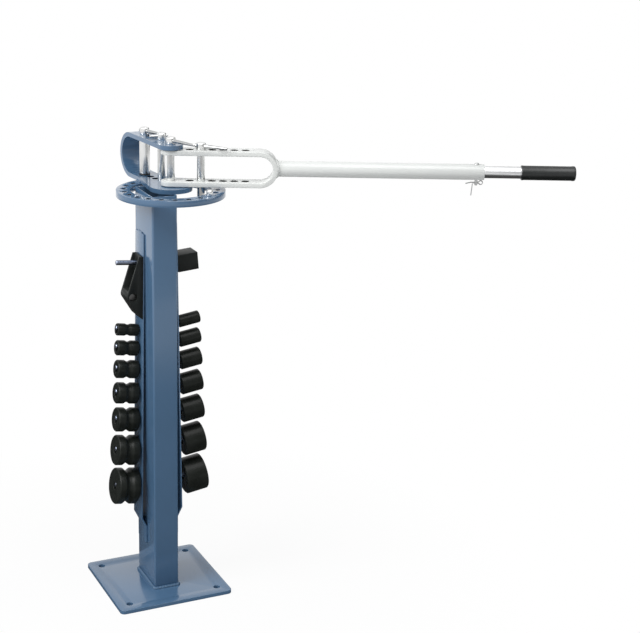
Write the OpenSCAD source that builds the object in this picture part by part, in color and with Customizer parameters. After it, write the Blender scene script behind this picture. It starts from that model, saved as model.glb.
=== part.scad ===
// Pedestal hand bender: a steel column on a bolt-down plate carries an index ring, a U-shaped
// frame and a long forked lever, with bending dies hung on two racks.
// X runs to the right, Y to the back, Z up. The origin is the middle of the plate's underside.

/* [Foot plate] */
// Width of the foot plate along X
base_w = 246; // [200:1:320]
// Depth of the foot plate along Y
base_d = 240; // [200:1:320]
// Thickness of the foot plate
base_t = 8; // [5:0.5:16]
// Corner radius of the foot plate
base_corner_r = 10; // [2:0.5:24]
// Diameter of the floor bolt holes
floor_hole_d = 14; // [8:0.5:20]
// Distance of each floor bolt hole from its two nearest edges
floor_hole_inset = 26; // [16:1:40]
// Leg of the weld around the foot of the column
foot_weld_leg = 6; // [3:0.5:12]

/* [Column] */
// Width of the column tube along X
column_w = 53; // [44:1:60]
// Depth of the column tube along Y
column_d = 105; // [96:1:108]
// Wall of the column tube
column_wall = 3; // [2:0.5:6]
// Outer corner radius of the column tube
column_corner_r = 4; // [2:0.5:8]
// Height of the column's open top above the floor
column_h = 859; // [840:1:1100]

/* [Index ring] */
// Outer diameter of the index ring
ring_d = 220; // [210:1:260]
// Bore of the index ring
ring_bore_d = 163; // [158:1:165]
// Thickness of the index ring
ring_t = 12; // [8:0.5:20]
// Depth that the frame's lower arm is let into the ring
ring_lap = 1; // [0.5:0.5:6]
// Diameter of the circle that the index holes lie on
index_pcd = 189; // [184:1:196]
// Number of index holes
index_count = 22; // [12:1:30]
// Diameter of an index hole
index_hole_d = 10; // [6:0.5:12]
// Direction of the index hole that holds the stop pin
index_start = -56; // [-60:0.5:-45]
// Diameter of the weld spots between the ring and the column corners
ring_weld_d = 20; // [16:0.5:24]

/* [Frame] */
// Distance of the lever's pivot from the column's middle along X
pivot_x = 32; // [30:0.5:34]
// Direction of the frame, turned to the left from straight back
frame_turn = 5.4; // [0:0.1:8]
// Width of the frame's flat bar
frame_w = 50; // [40:1:56]
// Thickness of the frame's flat bar
frame_t = 9; // [8:0.5:16]
// Clear height between the frame's two arms
frame_gap = 76; // [60:1:90]
// Reach of the frame's bend behind the pivot
frame_reach = 192; // [190:1:260]
// Diameter of the round pad that ends the lower arm
frame_pad_d = 87; // [60:1:90]
// Distance behind the pivot at which the lower arm starts to widen to its pad
pad_flare = 105; // [90:1:120]
// Distance of the second pin behind the pivot
second_reach = 48.5; // [44:0.5:54]
// Distance of the second pin to the right of the frame's middle
second_shift = 2.5; // [0:0.5:4]
// Distance of the rear pin behind the pivot
rear_reach = 116; // [110:0.5:134]
// Distance of the rear pin to the left of the frame's middle
rear_shift = 4; // [0:0.5:6]
// Number of pin holes along the frame's slanted row
frame_hole_count = 4; // [2:1:4]

/* [Pins] */
// Diameter of the pin shafts
pin_d = 16; // [12:0.5:18]
// Length of the shafts of the three frame pins below their heads
pin_len = 93; // [90:1:93]
// Length of the forming pin's shaft below its head
forming_pin_len = 98; // [94:1:104]
// Diameter of a pin head
pin_head_d = 19; // [18.5:0.5:22]
// Height of a pin head
pin_head_h = 14; // [12:0.5:20]
// Diameter of the cross bar where it passes through the head
bar_d = 8; // [6:0.5:9]
// Diameter of the cross bar at its tip
bar_tip_d = 5; // [3:0.5:5.5]
// Length of the pivot pin's bar from the pin's axis to the tip
pivot_bar_len = 70; // [40:1:80]
// Length of the forming pin's bar from the pin's axis to the tip
forming_bar_len = 60; // [40:1:80]
// Length of the rear pin's bar from the pin's axis to the tip
rear_bar_len = 54; // [30:1:58]
// Length of the second pin's bar from the pin's axis to the tip
second_bar_len = 25; // [20:1:50]
// Length of each bar's stub on the far side of the head
bar_stub_len = 13; // [11:0.5:16]
// Outer diameter of the loose sleeve on the rear pin
sleeve_d = 22; // [20:0.5:26]
// Section diameter of the rubber ring under the sleeve
seal_d = 3; // [2:0.5:4]
// Diameter of the stop pin above the ring
stop_d = 13.5; // [12.5:0.5:18]
// Height of the stop pin above the ring
stop_h = 11.6; // [10:0.1:16]

/* [Lever] */
// Width of the fork's flat bar
fork_w = 40; // [32:1:44]
// Thickness of the fork's flat bar
fork_t = 10; // [6:0.5:12]
// Reach of the fork's bend from the pivot
fork_reach = 215; // [205:1:260]
// Number of holes along each fork plate, beside the pivot hole
fork_hole_count = 6; // [3:1:6]
// Distance of the first fork hole from the pivot
fork_hole_start = 38; // [34:0.5:42]
// Pitch of the fork holes
fork_hole_pitch = 22.3; // [20:0.1:24]
// Direction of the lever at rest
lever_angle = -24; // [-28:1:-20]
// Outer diameter of the handle tube
tube_d = 32; // [28:1:38]
// Distance of the handle tube's end from the pivot
tube_end = 630; // [450:1:800]
// Diameter of the inner handle
rod_d = 24; // [18:1:26]
// Wall of the inner handle
rod_wall = 3; // [2:0.5:4]
// Length of the inner handle
rod_len = 480; // [300:1:520]
// Bare length of the inner handle between the tube and the grip
rod_bare_len = 75.5; // [40:0.5:160]
// Outer diameter of the grip
grip_d = 30; // [28:0.5:40]
// Length of the grip
grip_len = 110; // [90:1:140]
// Diameter of the pin that locks the inner handle
hitch_d = 6; // [4:0.5:8]

/* [Racks] */
// Thickness of a rack strip
strip_t = 3; // [2:0.5:5]
// Width of a rack strip
strip_w = 50; // [40:1:56]
// Distance of each rack's middle from the column's middle, to opposite sides
rack_shift = 17.5; // [10:0.5:22]
// Space between the column and a strip at the bend
strip_standoff = 10; // [8:0.5:12]
// Height that a strip takes to return to the column below the bend
strip_return_len = 20; // [12:1:30]
// Length of the flat tail of a strip
strip_tail_len = 37; // [20:1:45]
// Distance of the left strip's top below the column's top
left_strip_drop = 86; // [66:1:94]
// Distance of the right strip's top below the column's top
right_strip_drop = 57; // [40:1:64]
// Height of the left strip's foot above the floor
left_strip_foot = 96; // [70:1:120]
// Height of the right strip's foot above the floor
right_strip_foot = 125; // [100:1:140]
// Diameter of the rack pegs
peg_d = 10; // [6:0.5:12]
// Length of the rack pegs from the strip
peg_len = 51; // [40:1:60]
// Upward tilt of the die pegs
peg_tilt = 8.5; // [4:0.5:12]
// Upward tilt of the two top pegs
top_peg_tilt = 5; // [2:0.5:8]

/* [Dies] */
// Diameter of the smallest die
first_die_d = 25.4; // [24:0.1:28]
// Step in diameter between the small dies
die_step = 6.35; // [5:0.05:6.6]
// Length of a die
die_len = 46; // [36:1:54]
// Bore of a die
die_bore_d = 16.2; // [14:0.1:17]
// Clear height between one die and the next
die_space = 11; // [6:0.5:13]
// Distance of the smallest grooved die below the left strip's top
left_die_drop = 208; // [200:1:212]
// Distance of the smallest plain die below the right strip's top
right_die_drop = 218; // [206:1:222]
// Width of the groove round the largest die
groove_w = 19; // [10:0.5:24]
// Depth of the groove round the largest die
groove_depth = 5.8; // [2:0.1:8]
// Chamfer on the rims of the dies
die_chamfer = 2; // [0.5:0.5:3]
// Clear distance between the strip and a grooved die
grooved_die_gap = 1; // [0.5:0.5:4]
// Clear distance between the strip and a plain die
plain_die_gap = 5; // [0.5:0.5:8]

/* [Blocks] */
// Width of the channel block along Y
channel_w = 43; // [36:1:48]
// Side wall of the channel block
channel_wall = 5; // [3:0.5:8]
// Height of the channel block
channel_h = 132; // [120:1:140]
// Depth of the channel block at its top
channel_top_depth = 8.5; // [8:0.5:14]
// Distance of the cross bore from the channel block's back
channel_bore_x = 20.5; // [18:0.5:26]
// Height of the cross bore above the channel block's foot
channel_bore_z = 48; // [40:1:56]
// Diameter of the cross bore
channel_bore_d = 17; // [12:0.5:18]
// Outer radius of the rounded nose around the cross bore
channel_nose_r = 13; // [12:0.5:16]
// Offset of the channel block's middle towards the column's middle
channel_shift = 4.5; // [0:0.5:6]
// Distance of the channel block's peg below the left strip's top
left_peg_drop = 63; // [54:1:66]
// Length of the square block away from the column
square_len = 44; // [36:1:52]
// Width of the square block along Y
square_w = 40; // [30:1:44]
// Height of the square block
square_h = 35.5; // [30:0.5:44]
// Distance of the square block's peg below the right strip's top
right_peg_drop = 86; // [76:1:96]

/* [Hidden] */
$fn = 64;

// Colours as the object shows them
paint_blue = [0.40, 0.48, 0.60];
paint_white = [0.88, 0.89, 0.88];
steel = [0.78, 0.78, 0.77];
black_oxide = [0.13, 0.14, 0.14];
rubber_black = [0.10, 0.11, 0.11];

// How far a cut runs past the face that it opens
overrun = 2;
// Radial clearance of a turning or sliding fit
running_fit = 0.05;
// Radial clearance of the sleeve on its pin
sleeve_fit = 0.1;
// Space left between touching pieces that can come apart
seat_gap = 0.3;
// Play between the fork and each arm of the frame
fork_play = 1.25;
// Chamfer round the top of a pin head
head_chamfer = 1.5;
// Distance that the stop pin's spigot reaches below the ring
spigot_reach = 2;

// Heights of the head
ring_top = column_h + ring_lap;
ring_z = ring_top - ring_t;
frame_h = frame_gap + 2 * frame_t;
frame_top = column_h + frame_h;
fork_z = column_h + frame_t + fork_play;
fork_h = frame_gap - 2 * fork_play;
lever_z = fork_z + fork_h / 2;

// Places along the lever, measured from the pivot
forming_reach = fork_hole_start + fork_hole_pitch;
grip_start = tube_end + rod_bare_len;
grip_round = grip_d / 8;
grip_end_t = grip_d / 5;
rod_end = grip_start + grip_len - grip_end_t;
rod_start = rod_end - rod_len;

// The locking pin of the inner handle
hitch_inset = 15;
hitch_head_d = 10;
hitch_head_h = 3;
hitch_tail = 11;
wire_d = 2.4;
wire_sides = 32;
eye_d = 8;
side_leg_len = 16;
down_leg_len = 27;
side_leg_turn = 8;
down_leg_turn = 82;

// Directions of the cross bars
pivot_bar_turn = -68;
forming_bar_turn = -50;
rear_bar_turn = -68;
second_bar_turn = 172;

// Die diameters: five even steps, then one and two double steps
die_steps = [0, 1, 2, 3, 4, 6, 8];
function die_d(i) = first_die_d + die_step * die_steps[i];
function die_drop(i) = i == 0 ? 0 : die_drop(i - 1) + (die_d(i - 1) + die_d(i)) / 2 + die_space;

// Share of the groove's width that its flat bottom keeps
groove_floor_share = 0.4;

// A smaller die has a shallower and somewhat narrower groove
function die_share(d) = d / die_d(len(die_steps) - 1);
function groove_cut(d) = groove_depth * die_share(d);
function groove_run(d) = groove_w * (1 + die_share(d)) / 2;

// Heights of the two racks: strip top, bend, tail and foot, smallest die and top peg
function rack_top(left) = column_h - (left ? left_strip_drop : right_strip_drop);
function rack_foot(left) = left ? left_strip_foot : right_strip_foot;
function rack_tail(left) = rack_foot(left) + strip_tail_len;
function rack_bend(left) = rack_tail(left) + strip_return_len;
function first_die_z(left) = rack_top(left) - (left ? left_die_drop : right_die_drop);
function top_peg_z(left) = rack_top(left) - (left ? left_peg_drop : right_peg_drop);

// Slope of a strip, and its outer face's distance from the column at a given height
function rack_lean(left) = atan(strip_standoff / (rack_top(left) - rack_bend(left)));
function rack_face(left, z) = strip_t + strip_standoff * min(
    (rack_top(left) - z) / (rack_top(left) - rack_bend(left)),
    max(z - rack_tail(left), 0) / strip_return_len);
peg_rise = (die_bore_d - peg_d) / 2 - seat_gap;

// The channel block's pocket floor lies above its cross bore by this much
pocket_margin = 3.5;
channel_foot_depth = 10;
channel_foot_rise = 7;
channel_hook_play = 3;
channel_hook_d = peg_d + channel_hook_play;
channel_hook_drop = 18;
channel_hook_z = channel_h - channel_hook_drop;
nose_steps = 16;

// Angle at which a line from p touches the circle of radius r about c, on side s
function tangent_angle(c, r, p, s) =
    atan2(p[1] - c[1], p[0] - c[0]) + s * acos(r / norm(p - c));

// Points along the arc of radius r about c, from angle a to angle b
function arc_points(c, r, a, b, steps) =
    [for (i = [0 : steps]) let (t = a + (b - a) * i / steps) c + r * [cos(t), sin(t)]];

// Rectangle with round corners about the origin
module round_rect(w, d, r) {
    square([w - 2 * r, d], center = true);
    square([w, d - 2 * r], center = true);
    for (x = [-1, 1], y = [-1, 1])
        translate([x * (w / 2 - r), y * (d / 2 - r)]) circle(r = r);
}

module column_outline() {
    round_rect(column_w, column_d, column_corner_r);
}

// Side outline of a flat bar bent to a U, with its open end at start
module u_outline(start, reach, height) {
    translate([start, 0]) square([reach - height / 2 - start, height]);
    translate([reach - height / 2, height / 2]) circle(d = height);
}

// Flat bar bent to a U that opens towards -X, with arms rounded about the origin
module u_bar(w, t, reach, height) {
    intersection() {
        translate([0, w / 2, 0]) rotate([90, 0, 0]) linear_extrude(w) difference() {
            u_outline(-w, reach, height);
            translate([0, t]) u_outline(-w - overrun, reach - t, height - 2 * t);
        }
        linear_extrude(height) {
            circle(d = w);
            translate([0, -w / 2]) square([reach, w]);
        }
    }
}

module hole(d, h) {
    translate([0, 0, -overrun]) cylinder(d = d, h = h + 2 * overrun);
}

module at_pivot() {
    translate([pivot_x, 0, 0]) children();
}

// Frame axes: local X runs from the pivot to the back of the frame
module on_frame() {
    at_pivot() rotate([0, 0, 90 + frame_turn]) children();
}

// Lever axes: local X runs from the pivot to the grip
module on_lever() {
    at_pivot() rotate([0, 0, lever_angle]) children();
}

// Rack axes: the right rack as it stands, the left one turned half round
module on_rack(left) {
    rotate([0, 0, left ? 180 : 0]) translate([column_w / 2, -rack_shift, 0]) children();
}

// Foot plate, foot weld and column
module base_plate() {
    color(paint_blue) difference() {
        linear_extrude(base_t) round_rect(base_w, base_d, base_corner_r);
        for (x = [-1, 1], y = [-1, 1])
            translate([x * (base_w / 2 - floor_hole_inset), y * (base_d / 2 - floor_hole_inset), 0])
                hole(floor_hole_d, base_t);
    }
}

module weld_wedge(w, length) {
    rotate([90, 0, 0]) linear_extrude(length, center = true)
        polygon([
            [-w / 2 - foot_weld_leg, 0], [w / 2 + foot_weld_leg, 0],
            [w / 2, foot_weld_leg], [-w / 2, foot_weld_leg]
        ]);
}

module foot_weld() {
    weld_run = 2 * (column_d + foot_weld_leg);
    color(paint_blue) translate([0, 0, base_t]) difference() {
        intersection() {
            weld_wedge(column_w, weld_run);
            rotate([0, 0, 90]) weld_wedge(column_d, weld_run);
        }
        translate([0, 0, -overrun]) linear_extrude(foot_weld_leg + 2 * overrun) column_outline();
    }
}

module column() {
    color(paint_blue) translate([0, 0, base_t]) difference() {
        linear_extrude(column_h - base_t) column_outline();
        translate([0, 0, -overrun]) linear_extrude(column_h - base_t + 2 * overrun)
            round_rect(column_w - 2 * column_wall, column_d - 2 * column_wall,
                max(column_corner_r - column_wall, column_wall / 3));
    }
}

// Index ring, its welds to the column, and the frame
module ring_welds() {
    color(paint_blue) translate([0, 0, ring_z]) for (side = [-1, 1])
        linear_extrude(ring_top - ring_z - ring_lap) difference() {
            intersection() {
                translate([pivot_x, 0]) circle(d = ring_bore_d, $fn = 4 * $fn);
                translate([-column_w / 2, side * column_d / 2]) circle(d = ring_weld_d);
            }
            column_outline();
        }
}

module index_ring() {
    color(paint_blue) difference() {
        at_pivot() translate([0, 0, ring_z]) difference() {
            cylinder(d = ring_d, h = ring_t);
            hole(ring_bore_d, ring_t);
            for (i = [0 : index_count - 1])
                rotate([0, 0, index_start + 360 * i / index_count])
                    translate([index_pcd / 2, 0, 0]) hole(index_hole_d, ring_t);
        }
        on_frame() translate([0, 0, column_h]) linear_extrude(ring_lap + overrun) lower_arm();
    }
}

// Outline of the frame's lower arm, which widens from the bar to a round pad
module lower_arm() {
    pad_r = frame_pad_d / 2;
    corner = [pad_flare, frame_w / 2];
    turn = tangent_angle([0, 0], pad_r, corner, 1);
    touch = pad_r * [cos(turn), sin(turn)];
    circle(r = pad_r);
    polygon([touch, corner, [corner[0], -corner[1]], [touch[0], -touch[1]]]);
    translate([0, -frame_w / 2]) square([frame_reach - frame_h / 2, frame_w]);
}

module frame_hole_places() {
    children();
    for (i = [0 : frame_hole_count - 1]) {
        along = i / max(frame_hole_count - 1, 1);
        translate([
            second_reach + along * (rear_reach - second_reach),
            along * (rear_shift + second_shift) - second_shift, 0
        ]) children();
    }
}

module u_frame() {
    color(paint_blue) on_frame() translate([0, 0, column_h]) difference() {
        union() {
            u_bar(frame_w, frame_t, frame_reach, frame_h);
            linear_extrude(frame_t) lower_arm();
        }
        frame_hole_places() hole(pin_d + 2 * running_fit, frame_h);
    }
}

// Rack strips with their pegs
module rack_strip(left) {
    top = rack_top(left);
    bend = rack_bend(left);
    tail = rack_tail(left);
    foot = rack_foot(left);
    color(paint_blue) on_rack(left) translate([0, strip_w / 2, 0]) rotate([90, 0, 0])
        linear_extrude(strip_w) polygon([
            [0, top], [strip_t, top], [strip_standoff + strip_t, bend], [strip_t, tail],
            [strip_t, foot], [0, foot], [0, tail], [strip_standoff, bend]
        ]);
}

// Everything behind the outer faces of a strip and of the column under it
module behind_strip(left) {
    back = 2 * peg_d;
    top = rack_top(left);
    foot = rack_foot(left);
    translate([0, strip_w / 2, 0]) rotate([90, 0, 0]) linear_extrude(strip_w) polygon([
        [-back, top], [strip_t, top], [strip_standoff + strip_t, rack_bend(left)],
        [strip_t, rack_tail(left)], [strip_t, foot], [0, foot], [0, 0], [-back, 0]
    ]);
}

// Moves to a peg's root on the strip's face, with local Z along the peg
module at_peg(left, z, tilt) {
    translate([rack_face(left, z), 0, z]) rotate([0, 90 - tilt, 0]) children();
}

module rack_pegs(left) {
    color(steel) on_rack(left) difference() {
        union() {
            for (i = [0 : len(die_steps) - 1])
                at_peg(left, first_die_z(left) - die_drop(i), peg_tilt)
                    translate([-peg_rise, 0, -peg_d]) cylinder(d = peg_d, h = peg_d + peg_len);
            at_peg(left, top_peg_z(left), top_peg_tilt)
                translate([0, left ? channel_shift : 0, -peg_d])
                    cylinder(d = peg_d, h = peg_d + peg_len);
        }
        behind_strip(left);
    }
}

// Profile of a die from its inner to its outer face, drawn as radius and length
module die_profile(d, cut) {
    r = d / 2;
    mid = die_len / 2;
    rim = min(die_chamfer, (r - die_bore_d / 2) / 3);
    flank = groove_run(d) / 2;
    floor_half = groove_floor_share * flank;
    polygon(concat(
        [[die_bore_d / 2, 0], [r - rim, 0], [r, rim]],
        cut > 0 ? [
            [r, mid - flank], [r - cut, mid - floor_half],
            [r - cut, mid + floor_half], [r, mid + flank]
        ] : [],
        [[r, die_len - rim], [r - rim, die_len], [die_bore_d / 2, die_len]]
    ));
}

// One die hung on its peg, standing clear of the strip by gap at its upper inner edge
module hung_die(left, i, gap, cut) {
    d = die_d(i);
    lift = gap + d / 2 * sin(peg_tilt - rack_lean(left));
    color(black_oxide) on_rack(left) at_peg(left, first_die_z(left) - die_drop(i), peg_tilt)
        translate([0, 0, lift]) rotate_extrude() die_profile(d, cut);
}

module grooved_die(i) {
    hung_die(true, i, grooved_die_gap, groove_cut(die_d(i)));
}

module plain_die(i) {
    hung_die(false, i, plain_die_gap, 0);
}

// Side outline of the channel block: back along X = 0, foot at Z = 0
module channel_side() {
    nose = [channel_bore_x, channel_bore_z];
    crown = [channel_top_depth, channel_h];
    toe = [channel_foot_depth, channel_foot_rise];
    polygon(concat(
        [[0, 0], [0, channel_h], crown],
        arc_points(nose, channel_nose_r,
            tangent_angle(nose, channel_nose_r, crown, -1),
            tangent_angle(nose, channel_nose_r, toe, 1), nose_steps),
        [toe]
    ));
}

// The block hangs from its peg with its back leaning on the strip
module channel_block() {
    floor_z = channel_bore_z + channel_bore_d / 2 + pocket_margin;
    hook_rise = (channel_hook_d - peg_d) / 2 - 2 * seat_gap;
    peg_z = top_peg_z(true);
    color(black_oxide) on_rack(true)
        translate([rack_face(true, peg_z), channel_shift, peg_z])
        rotate([0, -rack_lean(true), 0])
        translate([seat_gap, 0, -channel_hook_z - hook_rise]) difference() {
            translate([0, channel_w / 2, 0]) rotate([90, 0, 0])
                linear_extrude(channel_w) channel_side();
            translate([channel_wall, channel_wall - channel_w / 2, floor_z])
                cube([channel_h, channel_w - 2 * channel_wall, channel_h]);
            translate([channel_bore_x, 0, channel_bore_z]) rotate([90, 0, 0])
                cylinder(d = channel_bore_d, h = channel_w + overrun, center = true);
            translate([0, 0, channel_hook_z]) rotate([0, 90, 0])
                cylinder(d = channel_hook_d, h = 3 * channel_wall, center = true);
        }
}

module square_block() {
    lift = seat_gap + square_h / 2 * tan(top_peg_tilt - rack_lean(false));
    color(black_oxide) on_rack(false) at_peg(false, top_peg_z(false), top_peg_tilt)
        translate([peg_rise, 0, lift]) difference() {
            translate([-square_h / 2, -square_w / 2, 0]) cube([square_h, square_w, square_len]);
            hole(die_bore_d, square_len);
        }
}

// Pins with their cross bars
module headed_pin(length) {
    bar_z = pin_head_h / 2;
    color(steel) difference() {
        union() {
            translate([0, 0, -length]) cylinder(d = pin_d, h = length);
            cylinder(d = pin_head_d, h = pin_head_h - head_chamfer);
            translate([0, 0, pin_head_h - head_chamfer])
                cylinder(d1 = pin_head_d, d2 = pin_head_d - 2 * head_chamfer, h = head_chamfer);
        }
        translate([0, 0, bar_z]) rotate([0, 90, 0])
            cylinder(d = bar_d + 2 * running_fit, h = pin_head_d + 2 * overrun, center = true);
    }
}

module cross_bar(length) {
    shank = pin_head_d / 2;
    color(steel) translate([0, 0, pin_head_h / 2]) rotate([0, 90, 0]) {
        translate([0, 0, -bar_stub_len]) cylinder(d = bar_d, h = bar_stub_len + shank);
        translate([0, 0, shank]) cylinder(d1 = bar_d, d2 = bar_tip_d, h = length - shank);
    }
}

module at_rear_pin() {
    on_frame() translate([rear_reach, rear_shift, frame_top])
        rotate([0, 0, rear_bar_turn - 90 - frame_turn]) children();
}

module at_second_pin() {
    on_frame() translate([second_reach, -second_shift, frame_top])
        rotate([0, 0, second_bar_turn - 90 - frame_turn]) children();
}

module at_pivot_pin() {
    at_pivot() translate([0, 0, frame_top]) rotate([0, 0, pivot_bar_turn]) children();
}

module at_forming_pin() {
    on_lever() translate([forming_reach, 0, fork_z + fork_h])
        rotate([0, 0, forming_bar_turn - lever_angle]) children();
}

// The sleeve rests on the rubber ring, and both lie between the frame's arms
module at_sleeve() {
    on_frame() translate([rear_reach, rear_shift, column_h + frame_t]) children();
}

module pin_sleeve() {
    foot = 2 * seat_gap + seal_d;
    color(steel) at_sleeve() translate([0, 0, foot]) difference() {
        cylinder(d = sleeve_d, h = frame_gap - foot - seat_gap);
        hole(pin_d + 2 * sleeve_fit, frame_gap);
    }
}

module rubber_ring() {
    color(rubber_black) at_sleeve() translate([0, 0, seat_gap + seal_d / 2])
        rotate_extrude() translate([pin_d / 2 + seat_gap + seal_d / 2, 0]) circle(d = seal_d);
}

module stop_pin() {
    color(steel) at_pivot() rotate([0, 0, index_start]) translate([index_pcd / 2, 0, ring_top]) {
        cylinder(d = stop_d, h = stop_h - head_chamfer);
        translate([0, 0, stop_h - head_chamfer])
            cylinder(d1 = stop_d, d2 = stop_d - 2 * head_chamfer, h = head_chamfer);
        translate([0, 0, -ring_t - spigot_reach])
            cylinder(d = index_hole_d - 2 * running_fit, h = ring_t + spigot_reach);
    }
}

// Lever
module fork() {
    color(paint_white) on_lever() translate([0, 0, fork_z]) difference() {
        u_bar(fork_w, fork_t, fork_reach, fork_h);
        hole(pin_d + 2 * running_fit, fork_h);
        for (i = [0 : fork_hole_count - 1])
            translate([fork_hole_start + i * fork_hole_pitch, 0, 0])
                hole(pin_d + 2 * running_fit, fork_h);
    }
}

// Lever axis: local Z runs from the pivot to the grip at the middle of the handle
module on_handle() {
    on_lever() translate([0, 0, lever_z]) rotate([0, 90, 0]) children();
}

module hitch_bore(d) {
    translate([0, 0, tube_end - hitch_inset]) rotate([0, 90, 0])
        cylinder(d = d, h = 2 * tube_d, center = true);
}

module handle_tube() {
    tube_start = fork_reach - tube_d / 2;
    color(paint_white) on_handle() difference() {
        translate([0, 0, tube_start]) cylinder(d = tube_d, h = tube_end - tube_start);
        hole(rod_d + 2 * seat_gap, tube_end);
        translate([0, 0, fork_reach - fork_h / 2]) rotate([90, 0, 0])
            cylinder(d = fork_h, h = fork_w + 2 * overrun, center = true);
        hitch_bore(hitch_d + 2 * running_fit);
    }
}

module inner_handle() {
    color(steel) on_handle() difference() {
        translate([0, 0, rod_start]) cylinder(d = rod_d, h = rod_len);
        translate([0, 0, rod_start]) hole(rod_d - 2 * rod_wall, rod_len);
        hitch_bore(hitch_d + 2 * running_fit);
    }
}

module grip() {
    r = grip_d / 2;
    color(rubber_black) on_handle() difference() {
        translate([0, 0, grip_start]) {
            cylinder(r = r, h = grip_len - grip_round);
            translate([0, 0, grip_len - grip_round]) cylinder(r = r - grip_round, h = grip_round);
            translate([0, 0, grip_len - grip_round]) rotate_extrude()
                translate([r - grip_round, 0]) circle(r = grip_round);
        }
        translate([0, 0, grip_start - overrun])
            cylinder(d = rod_d + 2 * running_fit, h = rod_end - grip_start + overrun + seat_gap);
    }
}

// Locking pin of the inner handle, and the split pin through its lower end
module at_hitch() {
    on_lever() translate([tube_end - hitch_inset, 0, lever_z]) children();
}

module hitch_pin() {
    reach = tube_d / 2;
    color(steel) at_hitch() difference() {
        union() {
            translate([0, 0, -reach - hitch_tail])
                cylinder(d = hitch_d, h = 2 * reach + hitch_tail + hitch_head_h / 2);
            translate([0, 0, reach]) cylinder(d = hitch_head_d, h = hitch_head_h);
        }
        translate([0, 0, -reach - hitch_tail / 2]) rotate([0, 90, 0])
            cylinder(d = wire_d + 2 * running_fit, h = hitch_d + 2 * overrun, center = true);
    }
}

module wire(length) {
    cylinder(d = wire_d, h = length, $fn = wire_sides);
}

module split_pin() {
    neck = hitch_d / 2 + wire_d;
    leg_x = wire_d / 4 - neck;
    color(steel) at_hitch() translate([0, 0, -tube_d / 2 - hitch_tail / 2]) {
        translate([-neck, 0, 0]) rotate([0, 90, 0]) wire(2 * neck + wire_d);
        translate([neck + eye_d / 2, 0, 0]) rotate([90, 0, 0])
            rotate_extrude($fn = wire_sides) translate([eye_d / 2, 0])
                circle(d = wire_d, $fn = wire_sides);
        translate([leg_x, 0, 0]) rotate([0, -90 - side_leg_turn, 0]) wire(side_leg_len);
        translate([leg_x, 0, 0]) rotate([0, -90 - down_leg_turn, 0]) wire(down_leg_len);
    }
}

base_plate();
foot_weld();
column();
ring_welds();
index_ring();
u_frame();
rack_strip(true);  // left_strip
rack_strip(false);  // right_strip
rack_pegs(true);  // left_pegs
rack_pegs(false);  // right_pegs
grooved_die(0);  // grooved_die_1
grooved_die(1);  // grooved_die_2
grooved_die(2);  // grooved_die_3
grooved_die(3);  // grooved_die_4
grooved_die(4);  // grooved_die_5
grooved_die(5);  // grooved_die_6
grooved_die(6);  // grooved_die_7
plain_die(0);  // plain_die_1
plain_die(1);  // plain_die_2
plain_die(2);  // plain_die_3
plain_die(3);  // plain_die_4
plain_die(4);  // plain_die_5
plain_die(5);  // plain_die_6
plain_die(6);  // plain_die_7
channel_block();
square_block();
at_rear_pin() headed_pin(pin_len);  // rear_pin
at_rear_pin() cross_bar(rear_bar_len);  // rear_bar
pin_sleeve();
rubber_ring();
at_second_pin() headed_pin(pin_len);  // second_pin
at_second_pin() cross_bar(second_bar_len);  // second_bar
at_pivot_pin() headed_pin(pin_len);  // pivot_pin
at_pivot_pin() cross_bar(pivot_bar_len);  // pivot_bar
at_forming_pin() headed_pin(forming_pin_len);  // forming_pin
at_forming_pin() cross_bar(forming_bar_len);  // forming_bar
stop_pin();
fork();
handle_tube();
inner_handle();
grip();
hitch_pin();
split_pin();
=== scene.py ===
"""Looks of the pedestal hand bender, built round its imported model.

Every piece is shaped in millimetres with bmesh operators, then placed in the model's frame in metres.
X runs to the right, Y to the back and Z up, from the middle of the foot plate's underside.
"""

import logging
import math
from dataclasses import dataclass, field
from enum import Enum, StrEnum
from typing import ClassVar, Iterable, Optional, Sequence

import bmesh
import bpy
from mathutils import Matrix, Vector


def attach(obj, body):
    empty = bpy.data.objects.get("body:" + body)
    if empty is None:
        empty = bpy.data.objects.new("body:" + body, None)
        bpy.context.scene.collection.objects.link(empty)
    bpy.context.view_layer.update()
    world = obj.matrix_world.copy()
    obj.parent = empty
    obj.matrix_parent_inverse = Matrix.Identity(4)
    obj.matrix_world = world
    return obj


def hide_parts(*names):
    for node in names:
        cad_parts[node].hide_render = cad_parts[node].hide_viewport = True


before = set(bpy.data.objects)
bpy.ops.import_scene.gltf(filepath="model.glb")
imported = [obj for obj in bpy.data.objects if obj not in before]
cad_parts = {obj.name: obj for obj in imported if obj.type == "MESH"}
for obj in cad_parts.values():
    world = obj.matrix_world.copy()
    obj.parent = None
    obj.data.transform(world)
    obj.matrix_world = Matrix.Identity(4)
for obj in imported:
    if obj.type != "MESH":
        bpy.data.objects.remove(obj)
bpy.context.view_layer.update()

LOG = logging.getLogger("bender")
MM = 0.001

Point2 = tuple[float, float]
Triple = tuple[float, float, float]
Socket = bpy.types.NodeSocket


class Slot(Enum):
    """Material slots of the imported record."""

    BLUE_PAINT = "blue_paint"
    WHITE_PAINT = "white_paint"
    BRIGHT_STEEL = "bright_steel"
    BLACK_OXIDE = "black_oxide"
    BLACK_RUBBER = "black_rubber"


class Body(StrEnum):
    """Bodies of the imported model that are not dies."""

    STAND = "stand"
    LEVER = "lever"
    FORMING = "forming_set"
    PIVOT = "pivot_set"
    SECOND = "second_set"
    REAR = "rear_set"
    SLEEVE = "roller_sleeve"
    STOP = "stop"
    CHANNEL = "channel_tool"
    SQUARE = "square_tool"


class Cut(Enum):
    """Ways in which one shape changes another."""

    LESS = "DIFFERENCE"
    PLUS = "UNION"
    WITHIN = "INTERSECT"


# Finishes


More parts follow.
